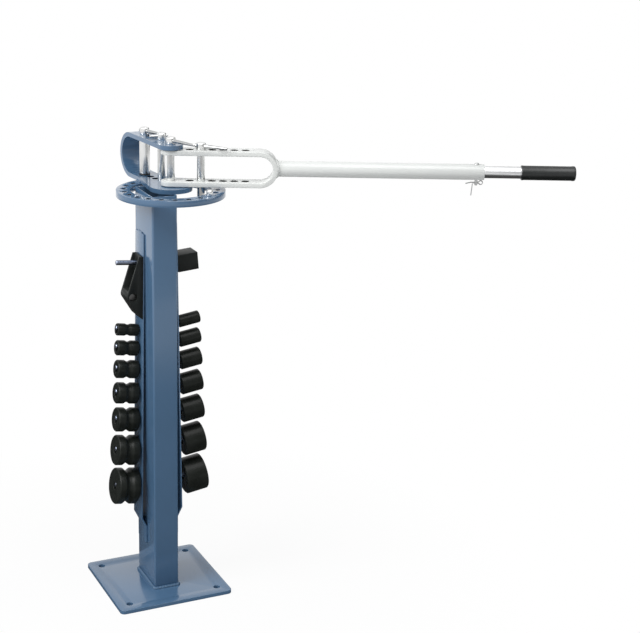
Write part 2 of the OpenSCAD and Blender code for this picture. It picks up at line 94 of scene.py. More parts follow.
@dataclass
class Graph:
    """Node tree of a material or of the world.

    Args:
        tree: The node tree.
    """

    tree: bpy.types.NodeTree

    @classmethod
    def cleared(cls, owner: bpy.types.ID) -> "Graph":
        """Give a new material or world an empty node tree.

        Args:
            owner: The material or world.

        Returns:
            Its node tree.
        """
        owner.use_nodes = True
        owner.node_tree.nodes.clear()
        return cls(owner.node_tree)

    def feed(self, target: Socket, value: object) -> None:
        """Join a socket to an input, or give it a value or a colour.

        Args:
            target: The input.
            value: A socket, a number, or three numbers.
        """
        if isinstance(value, Socket):
            self.tree.links.new(value, target)
        else:
            target.default_value = (*value, 1.0) if target.type == "RGBA" else value

    def fill(self, node: bpy.types.Node, *sources: object, **inputs: object) -> bpy.types.Node:
        """Set a node's properties and feed its inputs.

        Args:
            node: The node.
            sources: What its first inputs take, in order.
            inputs: What inputs take by name, with _ for a space, or properties in lower case.

        Returns:
            The node.
        """
        for name, value in inputs.items():
            if name.islower():
                setattr(node, name, value)
            else:
                self.feed(node.inputs[name.replace("_", " ")], value)
        for target, value in zip(node.inputs, sources):
            self.feed(target, value)
        return node

    def add(self, kind: str, *sources: object, **inputs: object) -> bpy.types.Node:
        """Add a node of a type, named without ShaderNode, and fill it."""
        return self.fill(self.tree.nodes.new("ShaderNode" + kind), *sources, **inputs)

    def span(self, value: Socket, low: float, high: float, to_low: float, to_high: float) -> Socket:
        """Map a value from one range to another, clamped."""
        return self.add("MapRange", value, low, high, to_low, to_high).outputs[0]

    def blend(self, share: Socket, first: object, second: object) -> Socket:
        """Mix two colours, which are values or sockets.

        Args:
            share: How much of the second shows.
            first: The first colour.
            second: The second colour.

        Returns:
            The mixed colour.
        """
        node = self.add("Mix", share, data_type="RGBA")
        self.feed(node.inputs[6], first)
        self.feed(node.inputs[7], second)
        return node.outputs[2]

    def pick(self, share: Socket, first: bpy.types.Node, second: bpy.types.Node) -> bpy.types.Node:
        """Mix two shaders."""
        return self.add("MixShader", share, first.outputs[0], second.outputs[0])


@dataclass(frozen=True)
class Finish:
    """One surface finish: a base coat, its grain, its cloudiness, and an edge colour that stands for wear
    and, on the blue paints, partly for a painted highlight.

    Args:
        name: Name of the material.
        slot: Slot of the record that this finish belongs to; not used.
        colour: Main colour, linear.
        shade: Second colour that drifts over the surface, linear.
        edge_wear_and_highlight: Colour that shows on the edges, linear: wear, and on the blue paints partly a
            painted highlight.
        rough: Lowest and highest roughness.
        metallic: How metallic the surface is.
        coat: Weight of a clear coat.
        gloss: Strength of the shine, where 0.5 is plain paint.
        grain: Grain frequency along X, Y and Z, per metre.
        turn: Turn of the grain about Z, in degrees.
        tilt: Turn of the grain about Y, in degrees.
        relief: Height of the grain in metres.
        drift: Frequency of the cloudiness, per metre.
        wear: How strongly the edge colour shows.
        edge: Width of the coloured edge in metres.
        patch: Frequency of the patches of edge colour, per metre.
        cloud_span: Noise between which the colour goes from main to second.
        rough_span: Noise between which the roughness rises.
        rim_span: Bend of the surface between which the edge colour begins and is full.
        patch_span: Noise between which the edge colour begins and is full.
    """

    name: str
    slot: Slot
    colour: Triple
    shade: Triple
    edge_wear_and_highlight: Triple
    rough: Point2
    metallic: float = 0.0
    coat: float = 0.0
    gloss: float = 0.5
    grain: Triple = (420.0,) * 3
    turn: float = 0.0
    tilt: float = 0.0
    relief: float = 0.00004
    drift: float = 9.0
    wear: float = 0.3
    edge: float = 0.0022
    patch: float = 160.0
    cloud_span: Point2 = (0.35, 0.65)
    rough_span: Point2 = (0.3, 0.7)
    rim_span: Point2 = (0.995, 0.93)
    patch_span: Point2 = (0.4, 0.65)

    def material(self) -> bpy.types.Material:
        """Return the finish's material, made on first use."""
        return bpy.data.materials.get(self.name) or self._make()

    def _make(self) -> bpy.types.Material:
        """Build the material from noise, a bevel mask and one principled shader.

        Returns:
            The new material.
        """
        material = bpy.data.materials.new(self.name)
        material.use_nodes = True
        graph = Graph(material.node_tree)
        low, high = self.rough
        middle = (low + high) / 2
        place = graph.add("TexCoord").outputs["Object"]
        grain = self._grain(graph, place)
        drift = graph.add("TexNoise", Vector=place, Scale=self.drift, Detail=5.0,
                          Roughness=0.55).outputs["Fac"]
        colour = graph.blend(graph.span(drift, *self.cloud_span, 0.0, 1.0), self.colour, self.shade)
        # Edge colour: wear, and on the blue paints partly a painted highlight along the edges.
        colour = graph.blend(self._edge_wear_and_highlight_mask(graph, place), colour, self.edge_wear_and_highlight)
        rough = graph.add("Math", grain, middle - low,
                          graph.span(drift, *self.rough_span, low, middle), operation="MULTIPLY_ADD")
        bump = graph.add("Bump", Strength=1.0, Distance=self.relief, Height=grain)
        graph.fill(material.node_tree.nodes["Principled BSDF"], colour, Metallic=self.metallic,
                   Coat_Weight=self.coat, Specular_IOR_Level=self.gloss, Coat_Roughness=low / 2,
                   Roughness=rough.outputs[0], Normal=bump.outputs[0])
        return material

    def _grain(self, graph: Graph, place: Socket) -> Socket:
        """Return the fine grain as a value from 0 to 1.

        Args:
            graph: The material's nodes.
            place: The place on the piece.

        Returns:
            The grain.
        """
        turned = graph.add("Mapping", vector_type="TEXTURE", Vector=place,
                           Rotation=(0.0, math.radians(self.tilt), math.radians(self.turn)))
        sized = graph.add("Mapping", vector_type="POINT", Vector=turned.outputs[0], Scale=self.grain)
        noise = graph.add("TexNoise", Vector=sized.outputs[0], Scale=1.0, Detail=3.0, Roughness=0.6)
        return noise.outputs["Fac"]

    def _edge_wear_and_highlight_mask(self, graph: Graph, place: Socket) -> Socket:
        """Return the mask of the edges, which carries wear and, on the blue paints, partly a painted
        highlight.

        Args:
            graph: The material's nodes.
            place: The place on the piece.

        Returns:
            The mask.
        """
        soft = graph.add("Bevel", samples=4, Radius=self.edge).outputs[0]
        facing = graph.add("VectorMath", soft, graph.add("NewGeometry").outputs["Normal"],
                           operation="DOT_PRODUCT")
        rim = graph.span(facing.outputs["Value"], *self.rim_span, 0.0, 1.0)
        patch = graph.add("TexNoise", Vector=place, Scale=self.patch, Detail=4.0)
        patches = graph.span(patch.outputs["Fac"], *self.patch_span, 0.0, self.wear)
        return graph.add("Math", rim, patches, operation="MULTIPLY").outputs[0]


# The blue paints' lighter blue edge colour is partly wear and partly a painted highlight on the rounded
# edges.
BLUE = Finish("blue_grey_paint", Slot.BLUE_PAINT, (0.076, 0.152, 0.262), (0.070, 0.145, 0.250),
              (0.24, 0.31, 0.42), (0.16, 0.28), coat=0.5, relief=0.00002)
CAST_BLUE = Finish("blue_grey_paint_over_weld", Slot.BLUE_PAINT, (0.072, 0.146, 0.252),
                   (0.065, 0.135, 0.232), (0.24, 0.31, 0.42), (0.26, 0.40), coat=0.2,
                   grain=(700.0,) * 3, relief=0.00008, wear=0.2)
WHITE = Finish("off_white_paint", Slot.WHITE_PAINT, (0.735, 0.750, 0.730), (0.70, 0.715, 0.70),
               (0.45, 0.45, 0.44), (0.22, 0.34), coat=0.25, relief=0.00002, wear=0.25)
PIN_STEEL = Finish("turned_zinc", Slot.BRIGHT_STEEL, (0.80, 0.80, 0.79), (0.72, 0.73, 0.73),
                   (0.86, 0.86, 0.85), (0.14, 0.30), metallic=1.0, grain=(30.0, 30.0, 1600.0),
                   relief=0.00001, drift=40.0, wear=0.5)
BAR_STEEL = Finish("drawn_zinc", Slot.BRIGHT_STEEL, (0.50, 0.50, 0.50), (0.42, 0.43, 0.43),
                   (0.86, 0.86, 0.85), (0.16, 0.30), metallic=1.0, grain=(500.0,) * 3,
                   relief=0.000008, drift=60.0, wear=0.4)
# Painted shade and painted blue reflection: the pegs' bright steel is drawn dark and blue-tinted, as it looks
# in the shade between the dies and the blue strip.
SHADED_PEG_STEEL = Finish("shaded_peg_steel", Slot.BRIGHT_STEEL, (0.27, 0.30, 0.38), (0.21, 0.25, 0.33),
                   (0.46, 0.48, 0.54), (0.25, 0.42), metallic=1.0, grain=(1300.0, 40.0, 40.0),
                   relief=0.00001, drift=50.0, wear=0.5)
ROD_CHROME = Finish("handle_chrome", Slot.BRIGHT_STEEL, (0.86, 0.87, 0.88), (0.80, 0.81, 0.82),
                    (0.90, 0.90, 0.90), (0.24, 0.36), metallic=1.0, grain=(25.0, 900.0, 900.0),
                    turn=-24.0, relief=0.000005, drift=30.0)
OXIDE = Finish("oiled_black_oxide", Slot.BLACK_OXIDE, (0.011, 0.013, 0.011), (0.016, 0.018, 0.016),
               (0.11, 0.115, 0.115), (0.22, 0.36), gloss=0.12, grain=(1500.0, 25.0, 25.0),
               tilt=8.5, relief=0.000014, drift=45.0, wear=0.35, edge=0.0014)
BLOCK_OXIDE = Finish("black_oxide_block", Slot.BLACK_OXIDE, (0.012, 0.014, 0.013),
                     (0.018, 0.020, 0.019), (0.11, 0.115, 0.115), (0.30, 0.48), gloss=0.12,
                     grain=(260.0,) * 3, relief=0.00005, drift=30.0, wear=0.4, edge=0.0014)
# Painted shade: near-black walls for the holes in the blue and the white parts, standing for the shade inside
# them.
PAINTED_SHADE_BORE_WALL = Finish("shaded_bore_wall", Slot.BLUE_PAINT, (0.016, 0.022, 0.032),
                   (0.012, 0.017, 0.026), (0.05, 0.06, 0.08), (0.45, 0.60), gloss=0.15)
PAINTED_SHADE_FORK_BORE_WALL = Finish("shaded_fork_bore_wall", Slot.WHITE_PAINT, (0.040, 0.040, 0.038),
                        (0.030, 0.030, 0.029), (0.10, 0.10, 0.10), (0.45, 0.60), gloss=0.15)
GRIP_RUBBER = Finish("black_grip_rubber", Slot.BLACK_RUBBER, (0.006, 0.008, 0.008),
                     (0.010, 0.012, 0.012), (0.03, 0.032, 0.032), (0.28, 0.46),
                     grain=(900.0,) * 3, drift=25.0, wear=0.5)


# Shapes


def polar(radius: float, degrees: float, centre: Point2 = (0.0, 0.0)) -> Point2:
    """Return the point at a distance and an angle from a centre."""
    turn = math.radians(degrees)
    return centre[0] + radius * math.cos(turn), centre[1] + radius * math.sin(turn)


def arc(radius: float, start: float, end: float, steps: int, centre: Point2 = (0.0, 0.0)) -> list[Point2]:
    """Return points along an arc, from one angle in degrees to another."""
    return [polar(radius, start + (end - start) * i / steps, centre) for i in range(steps + 1)]


def round_rectangle(width: float, depth: float, radius: float, steps: int = 6) -> list[Point2]:
    """Return the outline of a rectangle with round corners about the origin.

    Args:
        width: Size along X.
        depth: Size along Y.
        radius: Radius of the corners.
        steps: Number of chords in a corner.

    Returns:
        The outline's points.
    """
    x, y = width / 2 - radius, depth / 2 - radius
    corners = ((x, y), (-x, y), (-x, -y), (x, -y))
    return [p for i, c in enumerate(corners) for p in arc(radius, 90.0 * i, 90.0 * (i + 1), steps, c)]


def spin(axis: str, degrees: float) -> Matrix:
    """Return a turn about X, Y or Z."""
    return Matrix.Rotation(math.radians(degrees), 4, axis)


def move(x: float = 0.0, y: float = 0.0, z: float = 0.0) -> Matrix:
    """Return a shift in millimetres."""
    return Matrix.Translation((x, y, z))


def walk(points: Sequence[Vector], step: float, closed: bool = False) -> list[Vector]:
    """Space points evenly along a path.

    Args:
        points: Corners of the path.
        step: Rough distance between the new points.
        closed: True where the path ends where it starts.

    Returns:
        The evenly spaced points.
    """
    corners = [*points, points[0]] if closed else list(points)
    legs = [(b - a).length for a, b in zip(corners, corners[1:])]
    total = sum(legs)
    count = max(2, round(total / step))
    made: list[Vector] = []
    leg, passed = 0, 0.0
    for i in range(count if closed else count + 1):
        spot = total * i / count
        while leg < len(legs) - 1 and spot > passed + legs[leg]:
            passed += legs[leg]
            leg += 1
        share = min(1.0, (spot - passed) / legs[leg]) if legs[leg] else 0.0
        made.append(corners[leg].lerp(corners[leg + 1], share))
    return made


def in_scene(name: str, data: bpy.types.ID) -> bpy.types.Object:
    """Link a new object to the scene.

    Args:
        name: Name of the object.
        data: Its mesh, lamp or camera.

    Returns:
        The object.
    """
    made = bpy.data.objects.new(name, data)
    bpy.context.scene.collection.objects.link(made)
    return made


def meshed(name: str, bm: bmesh.types.BMesh) -> bpy.types.Mesh:
    """Turn a finished bmesh into a mesh.

    Args:
        name: Name of the mesh.
        bm: The bmesh, which is used up.

    Returns:
        The mesh.
    """
    mesh = bpy.data.meshes.new(name)
    bm.to_mesh(mesh)
    bm.free()
    return mesh


def raise_copy(bm: bmesh.types.BMesh, grown: Iterable[object], height: float) -> None:
    """Raise the vertices that an extrusion has made."""
    top = [part for part in grown if isinstance(part, bmesh.types.BMVert)]
    bmesh.ops.translate(bm, vec=(0.0, 0.0, height), verts=top)


@dataclass(frozen=True)
class ShadedBores:
    """Upright round holes whose walls take a near-black material of their own, as painted shade inside the
    holes.

    Args:
        places: Middles of the holes.
        radius: Radius of the holes.
        finish: Finish of their walls, dark as painted shade.
        steepest: Greatest upward part of a wall's normal.
        margin: How far a wall may lie outside the radius.
    """

    places: Sequence[Point2]
    radius: float
    finish: Finish
    steepest: float = 0.5
    margin: float = 0.4

    def mark(self, bm: bmesh.types.BMesh) -> None:
        """Give the walls of the holes the second material, the painted shade.

        Args:
            bm: Mesh that has the holes.
        """
        for face in bm.faces:
            x, y, _ = face.calc_center_median()
            near = min(math.hypot(x - a, y - b) for a, b in self.places)
            if abs(face.normal.z) < self.steepest and near < self.radius + self.margin:
                face.material_index = 1


@dataclass
class Shape:
    """A mesh in the making, in millimetres.

    Args:
        bm: The mesh that the operators work on.
    """

    bm: bmesh.types.BMesh = field(default_factory=bmesh.new)
    # How far a cutter reaches past what it cuts, and the points from one swell of a bead to the next.
    CLEAR: ClassVar[float] = 5.0
    BEAD_PITCH: ClassVar[int] = 4
    # Vertices nearer than these are one, in a new shape and after a cut.
    MERGE: ClassVar[float] = 0.0001
    CUT_MERGE: ClassVar[float] = 0.001
    # Faces that meet at less than these, in degrees, are one face after a cut, or shade as one.
    FLAT: ClassVar[float] = 0.2
    SMOOTH: ClassVar[float] = 32.0

    @classmethod
    def slab(cls, outline: Iterable[Point2], height: float, base: float = 0.0) -> "Shape":
        """Raise a flat outline to a slab.

        Args:
            outline: Points of the outline in the XY plane.
            height: Thickness along Z.
            base: Height of the underside.

        Returns:
            The slab.
        """
        shape = cls()
        face = shape.bm.faces.new([shape.bm.verts.new((x, y, base)) for x, y in outline])
        grown = bmesh.ops.extrude_face_region(shape.bm, geom=[face])["geom"]
        raise_copy(shape.bm, grown, height)
        return shape.heal()

    @classmethod
    def upright(cls, side: Iterable[Point2], width: float) -> "Shape":
        """Widen a side view in X and Z to a slab whose middle is at Y = 0."""
        return cls.slab(side, width).placed(move(y=width / 2) @ spin("X", 90.0))

    @classmethod
    def turned(cls, profile: Iterable[Point2], steps: int = 56) -> "Shape":
        """Turn a closed profile about Z, as on a lathe.

        Args:
            profile: Points as radius and height.
            steps: Number of facets round the axis.

        Returns:
            The turned shape.
        """
        shape = cls()
        verts = [shape.bm.verts.new((r, 0.0, z)) for r, z in profile]
        edges = [shape.bm.edges.new(pair) for pair in zip(verts, verts[1:] + verts[:1])
                 if max(pair[0].co.x, pair[1].co.x) > 0.0]
        bmesh.ops.spin(shape.bm, geom=[*verts, *edges], cent=(0, 0, 0), axis=(0, 0, 1),
                       angle=math.tau, steps=steps, use_merge=True)
        return shape.heal()

    @classmethod
    def pipe(cls, outer: float, inner: float, low: float, high: float, steps: int = 56) -> "Shape":
        """Turn a plain tube of two diameters along Z."""
        corners = ((inner / 2, low), (outer / 2, low), (outer / 2, high), (inner / 2, high))
        return cls.turned(corners, steps)

    @classmethod
    def rod(cls, diameter: float, half: float, steps: int = 48) -> "Shape":
        """Make a plain round bar along Z with its middle at the origin, as a cutter.

        Args:
            diameter: Diameter of the bar.
            half: Half its length.
            steps: Number of facets.

        Returns:
            The bar.
        """
        shape = cls()
        bmesh.ops.create_cone(shape.bm, cap_ends=True, segments=steps, radius1=diameter / 2,
                              radius2=diameter / 2, depth=2 * half)
        return shape

    @classmethod
    def block(cls, low: Sequence[float], high: Sequence[float]) -> "Shape":
        """Make a box between two corners.

        Args:
            low: The lowest corner.
            high: The highest corner.

        Returns:
            The box.
        """
        shape = cls()
        size, middle = Vector(high) - Vector(low), (Vector(high) + Vector(low)) / 2
        bmesh.ops.create_cube(shape.bm, size=1.0,
                              matrix=Matrix.Translation(middle) @ Matrix.Diagonal((*size, 1.0)))
        return shape

    @classmethod
    def bead(cls, path: Sequence[Vector], radius: float, ripple: float = 0.0,
             closed: bool = False, sides: int = 10) -> "Shape":
        """Lay a round bead along a path, as a weld or a bent wire.

        Args:
            path: Points along the bead's middle.
            radius: Radius of the bead.
            ripple: Share by which the radius swells and shrinks.
            closed: True where the bead ends where it starts.
            sides: Number of sides of the bead.

        Returns:
            The bead.
        """
        shape = cls()
        rings: list[list[bmesh.types.BMEdge]] = []
        side = Vector((0.0, 0.0, 1.0))
        for i, point in enumerate(path):
            after = path[(i + 1) % len(path)] if closed or i + 1 < len(path) else point
            before = path[i - 1] if closed or i else point
            ahead = (after - before).normalized()
            side = (side - ahead * side.dot(ahead)).normalized()
            axes = Matrix((side.cross(ahead), side, ahead)).transposed().to_4x4()
            swell = radius * (1.0 + ripple * math.cos(math.tau * i / cls.BEAD_PITCH))
            made = bmesh.ops.create_circle(shape.bm, segments=sides, radius=swell, cap_ends=False,
                                           matrix=Matrix.Translation(point) @ axes)
            rings.append(list({e for v in made["verts"] for e in v.link_edges}))
        for near, far in zip(rings, rings[1:] + rings[:1] if closed else rings[1:]):
            bmesh.ops.bridge_loops(shape.bm, edges=near + far)
        if not closed:
            bmesh.ops.holes_fill(shape.bm, edges=shape.bm.edges[:], sides=sides)
        return shape.heal()

    def heal(self) -> "Shape":
        """Merge doubles and turn the faces outwards.

        Returns:
            This shape.
        """
        bmesh.ops.remove_doubles(self.bm, verts=self.bm.verts[:], dist=self.MERGE)
        bmesh.ops.recalc_face_normals(self.bm, faces=self.bm.faces[:])
        return self

    def placed(self, place: Matrix) -> "Shape":
        """Move or turn the shape, and return it."""
        bmesh.ops.transform(self.bm, matrix=place, verts=self.bm.verts[:])
        return self

    def joined(self, others: Iterable["Shape"]) -> "Shape":
        """Take other shapes into this one, without fusing them.

        Args:
            others: The other shapes, which are used up.

        Returns:
            This shape.
        """
        for other in others:
            spare = meshed("spare", other.bm)
            self.bm.from_mesh(spare)
            bpy.data.meshes.remove(spare)
        return self

    def cut(self, way: Cut, *tools: "Shape") -> "Shape":
        """Change the shape by other solids, which are used up.

        Args:
            way: Whether the tools are taken away, added or kept within.
            tools: The other solids.

        Returns:
            This shape.
        """
        scratch = [in_scene("scratch", meshed("scratch", solid.bm)) for solid in (self, *tools)]
        for tool in scratch[1:]:
            modifier = scratch[0].modifiers.new("cut", "BOOLEAN")
            modifier.operation = way.value
            modifier.solver = "EXACT"
            modifier.object = tool
        shown = scratch[0].evaluated_get(bpy.context.evaluated_depsgraph_get())
        self.bm = bmesh.new()
        self.bm.from_mesh(shown.to_mesh())
        shown.to_mesh_clear()
        for made in scratch:
            mesh = made.data
            bpy.data.objects.remove(made)
            bpy.data.meshes.remove(mesh)
        bmesh.ops.remove_doubles(self.bm, verts=self.bm.verts[:], dist=self.CUT_MERGE)
        bmesh.ops.dissolve_limit(self.bm, angle_limit=math.radians(self.FLAT), delimit={"NORMAL"},
                                 verts=self.bm.verts[:], edges=self.bm.edges[:])
        return self

    def drilled(self, diameter: float, height: float, places: Iterable[Matrix],
                steps: int = 40) -> "Shape":
        """Drill upright holes through the shape, and return it."""
        drills = (Shape.rod(diameter, height + self.CLEAR, steps).placed(place) for place in places)
        return self.cut(Cut.LESS, Shape().joined(drills))

    def softened(self, width: float, segments: int = 2, angle: float = 28.0) -> "Shape":
        """Round the sharp edges.

        Args:
            width: Width of the rounding.
            segments: Number of strips across it.
            angle: Least angle between faces that counts as sharp, in degrees.

        Returns:
            This shape.
        """
        sharp = [e for e in self.bm.edges
                 if len(e.link_faces) == 2 and e.calc_face_angle(0.0) > math.radians(angle)]
        bmesh.ops.bevel(self.bm, geom=sharp, offset=width, offset_type="OFFSET",
                        segments=segments, profile=0.5, affect="EDGES", clamp_overlap=True,
                        material=-1)
        return self

    def piece(self, name: str, finish: Finish, body: str, node: Optional[str] = None,
              place: Optional[Matrix] = None, shaded_bores: Optional[ShadedBores] = None) -> None:
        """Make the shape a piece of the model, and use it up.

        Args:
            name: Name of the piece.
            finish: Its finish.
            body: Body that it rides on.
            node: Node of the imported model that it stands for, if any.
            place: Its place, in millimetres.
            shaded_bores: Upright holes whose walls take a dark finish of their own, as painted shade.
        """
        bmesh.ops.recalc_face_normals(self.bm, faces=self.bm.faces[:])
        if shaded_bores:
            shaded_bores.mark(self.bm)
        self.bm.transform(Matrix.Scale(MM, 4) @ (place or Matrix.Identity(4)))
        mesh = meshed(name, self.bm)
        mesh.shade_smooth()
        mesh.set_sharp_from_angle(angle=math.radians(self.SMOOTH))
        made = in_scene(name, mesh)
        mesh.materials.append(finish.material())
        if shaded_bores:
            mesh.materials.append(shaded_bores.finish.material())
        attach(made, str(body))
        if node:
            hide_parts(node)
        LOG.info("%s: %d faces on %s", name, len(mesh.polygons), body)


# Sub-assemblies


class Assembly:
    """A sub-assembly with a build_ method for each of its pieces."""

    def build(self) -> None:
        """Run the build_ methods in the order in which they are written."""
        for name, method in vars(type(self)).items():
            if name.startswith("build_"):
                method(self)


@dataclass
class Stand(Assembly):
    """Foot plate, column and the weld between them."""

    plate: Triple = (246.0, 240.0, 8.0)
    plate_corner: float = 10.0
    bolt_hole: float = 14.0
    bolt_inset: float = 26.0
    tube: Point2 = (53.0, 105.0)
    tube_corners: Point2 = (4.0, 1.5)
    tube_wall: float = 3.0
    tube_top: float = 859.0
    weld_out: float = 1.0
    weld_up: float = 1.2
    weld_bead: float = 3.4
    weld_step: float = 1.6

    def build_plate(self) -> None:
        """Build the foot plate with its four bolt holes."""
        width, depth, thick = self.plate
        x, y = width / 2 - self.bolt_inset, depth / 2 - self.bolt_inset
        slab = Shape.slab(round_rectangle(width, depth, self.plate_corner, 8), thick)
        holes = (Shape.rod(self.bolt_hole, 2 * thick).placed(move(a, b)) for a in (-x, x) for b in (-y, y))
        slab.cut(Cut.LESS, *holes).softened(0.9, 3)
        slab.piece("foot_plate", BLUE, Body.STAND, "base_plate")

    def build_column(self) -> None:
        """Build the hollow column."""
        outer, inner = self.tube_corners
        width, depth = (size - 2 * self.tube_wall for size in self.tube)
        base = self.plate[2]
        tube = Shape.slab(round_rectangle(*self.tube, outer, 8), self.tube_top - base, base)
        hollow = Shape.slab(round_rectangle(width, depth, inner, 3), self.tube_top + base)
        tube.cut(Cut.LESS, hollow).softened(0.5, 2, 60.0)
        tube.piece("column_tube", BLUE, Body.STAND, "column")

    def build_foot_weld(self) -> None:
        """Build the rippled weld round the column's foot."""
        width, depth = (size + 2 * self.weld_out for size in self.tube)
        outline = round_rectangle(width, depth, self.tube_corners[0] + self.weld_out)
        height = self.plate[2] + self.weld_up
        path = walk([Vector((x, y, height)) for x, y in outline], self.weld_step, closed=True)
        bead = Shape.bead(path, self.weld_bead, 0.13, closed=True)
        bead.piece("foot_weld_bead", CAST_BLUE, Body.STAND, "foot_weld")


@dataclass
class Flat:
    """A flat bar bent to a U, open towards -X, with arms rounded about the origin.

    Args:
        width: Width of the bar.
        thick: Thickness of the bar.
        reach: Distance from the rounded ends' middle to the outside of the bend.
        height: Height over both arms.
    """

    width: float
    thick: float
    reach: float
    height: float

    def shape(self) -> Shape:
        """Return the bent bar without holes.

        Returns:
            The bar, with its foot at Z = 0.
        """
        w, t, h = self.width, self.thick, self.height
        bend = (self.reach - h / 2, h / 2)
        outer, inner = arc(h / 2, -90.0, 90.0, 40, bend), arc(h / 2 - t, 90.0, -90.0, 40, bend)
        bar = Shape.upright([(-w, 0.0), *outer, (-w, h), (-w, h - t), *inner, (-w, t)], w)
        clear = Shape.CLEAR
        far = self.reach + clear
        plan = [*arc(w / 2, 90.0, 270.0, 32), (far, -w / 2), (far, w / 2)]
        return bar.cut(Cut.WITHIN, Shape.slab(plan, h + 2 * clear, -clear))


@dataclass
class Head(Assembly):
    """Index ring, U-shaped frame and the welds that hold them."""

    pivot_x: float = 32.0
    column_top: float = 859.0
    column_half: Point2 = (26.5, 52.5)
    ring: Triple = (220.0, 163.0, 12.0)
    ring_top: float = 860.0
    hole_circle: float = 189.0
    hole_count: int = 22
    hole_start: float = -56.0
    hole_d: float = 10.0
    turn: float = 5.4
    bar: Flat = field(default_factory=lambda: Flat(50.0, 9.0, 192.0, 94.0))
    pad_d: float = 87.0
    pad_flare: float = 105.0
    pin_hole_d: float = 16.1
    second: Point2 = (48.5, -2.5)
    rear: Point2 = (116.0, 4.0)
    row_count: int = 4
    weld_gap: float = 1.0
    weld_step: float = 1.5
    # Inset and half the angle of the beads inside the ring.
    inner_weld: Point2 = (0.6, 5.4)

    def pivot(self) -> Matrix:
        """Return the place of the lever's pivot."""
        return move(self.pivot_x)

    def frame_turn(self) -> float:
        """Return the turn of the frame's axes about Z, in degrees."""
        return 90.0 + self.turn

    def along_frame(self) -> Matrix:
        """Return the frame's axes, with X from the pivot to the back."""
        return self.pivot() @ spin("Z", self.frame_turn())

    def pin_places(self) -> list[Point2]:
        """Return the pin holes: the pivot, then the slanted row from second to rear.

        Returns:
            The middles of the holes, along the frame's axes.
        """
        first, last = Vector(self.second), Vector(self.rear)
        row = [first.lerp(last, i / (self.row_count - 1)) for i in range(self.row_count)]
        return [(0.0, 0.0), *((spot.x, spot.y) for spot in row)]

    def flare_angle(self) -> float:
        """Return the angle at which the arm's straight edge leaves the round pad."""
        flare, edge = self.pad_flare, self.bar.width / 2
        return math.degrees(math.atan2(edge, flare) + math.acos(self.pad_d / 2 / math.hypot(flare, edge)))

    def pad_plan(self) -> list[Point2]:
        """Return the outline of the round pad and the stretch that narrows to the bar."""
        turn, edge = self.flare_angle(), self.bar.width / 2
        return [*arc(self.pad_d / 2, turn, 360.0 - turn, 72), (self.pad_flare, -edge), (self.pad_flare, edge)]

    def build_ring(self) -> None:
        """Build the index ring with its holes and the seat of the frame."""
        outer, bore, thick = self.ring
        half = self.bar.width / 2
        ring = Shape.pipe(outer, bore, self.ring_top - thick, self.ring_top, 144)
        turns = [self.hole_start + 360.0 / self.hole_count * i for i in range(self.hole_count)]
        spots = [spin("Z", turn) @ move(self.hole_circle / 2, z=self.ring_top) for turn in turns]
        ring.drilled(self.hole_d, thick, spots, 24)
        arm_seat = Shape.block((0.0, -half, self.column_top), (outer, half, self.ring_top + thick))
        pad_seat = Shape.slab(self.pad_plan(), 2 * thick, self.column_top)
        for seat in (arm_seat, pad_seat):
            ring.cut(Cut.LESS, seat.placed(spin("Z", self.frame_turn())))
        places = [tuple(spot.translation.xy) for spot in spots]
        # The walls of the index holes are drawn near black as painted shade.
        ring.softened(0.7).piece("index_ring_plate", BLUE, Body.STAND, "index_ring", self.pivot(),
                                 ShadedBores(places, self.hole_d / 2, PAINTED_SHADE_BORE_WALL))

    def build_frame(self) -> None:
        """Build the U-shaped frame with its pad and pin holes."""
        places = self.pin_places()
        bar = self.bar.shape().cut(Cut.PLUS, Shape.slab(self.pad_plan(), self.bar.thick))
        bar.drilled(self.pin_hole_d, self.bar.height, [move(*place) for place in places])
        # The walls of the pin holes are drawn near black as painted shade.
        bar.softened(1.0, 3).piece("bender_frame", BLUE, Body.STAND, "u_frame",
                                   self.along_frame() @ move(z=self.column_top),
                                   ShadedBores(places, self.pin_hole_d / 2, PAINTED_SHADE_BORE_WALL))

    def build_welds(self) -> None:
        """Build the beads between the column, the ring, and the frame."""
        outer, bore, thick = self.ring
        half, top = self.bar.width / 2, self.ring_top
        start = bore / 2 + self.weld_gap
        end = math.sqrt((outer / 2) ** 2 - half ** 2) - self.weld_gap
        leave_x, leave_y = polar(self.pad_d / 2, self.flare_angle())
        share = (self.pad_flare - start) / (self.pad_flare - leave_x)
        beads: list[Shape] = []
        for side in (-1, 1):
            middle = math.degrees(math.atan2(side * self.column_half[1],
                                             -self.column_half[0] - self.pivot_x))
            inset, spread = self.inner_weld
            inside = arc(bore / 2 - inset, middle - spread, middle + spread, 12, (self.pivot_x, 0.0))
            beads.append(Shape.bead([Vector((x, y, top - thick / 2)) for x, y in inside], 2.4, 0.14))
            beside = ((start, half + share * (leave_y - half)), (self.pad_flare, half), (end, half))
            corners = [self.along_frame() @ Vector((x, side * y, top)) for x, y in beside]
            beads.append(Shape.bead(walk(corners, self.weld_step), 2.0, 0.15))
        Shape().joined(beads).piece("ring_weld_beads", CAST_BLUE, Body.STAND, "ring_welds")


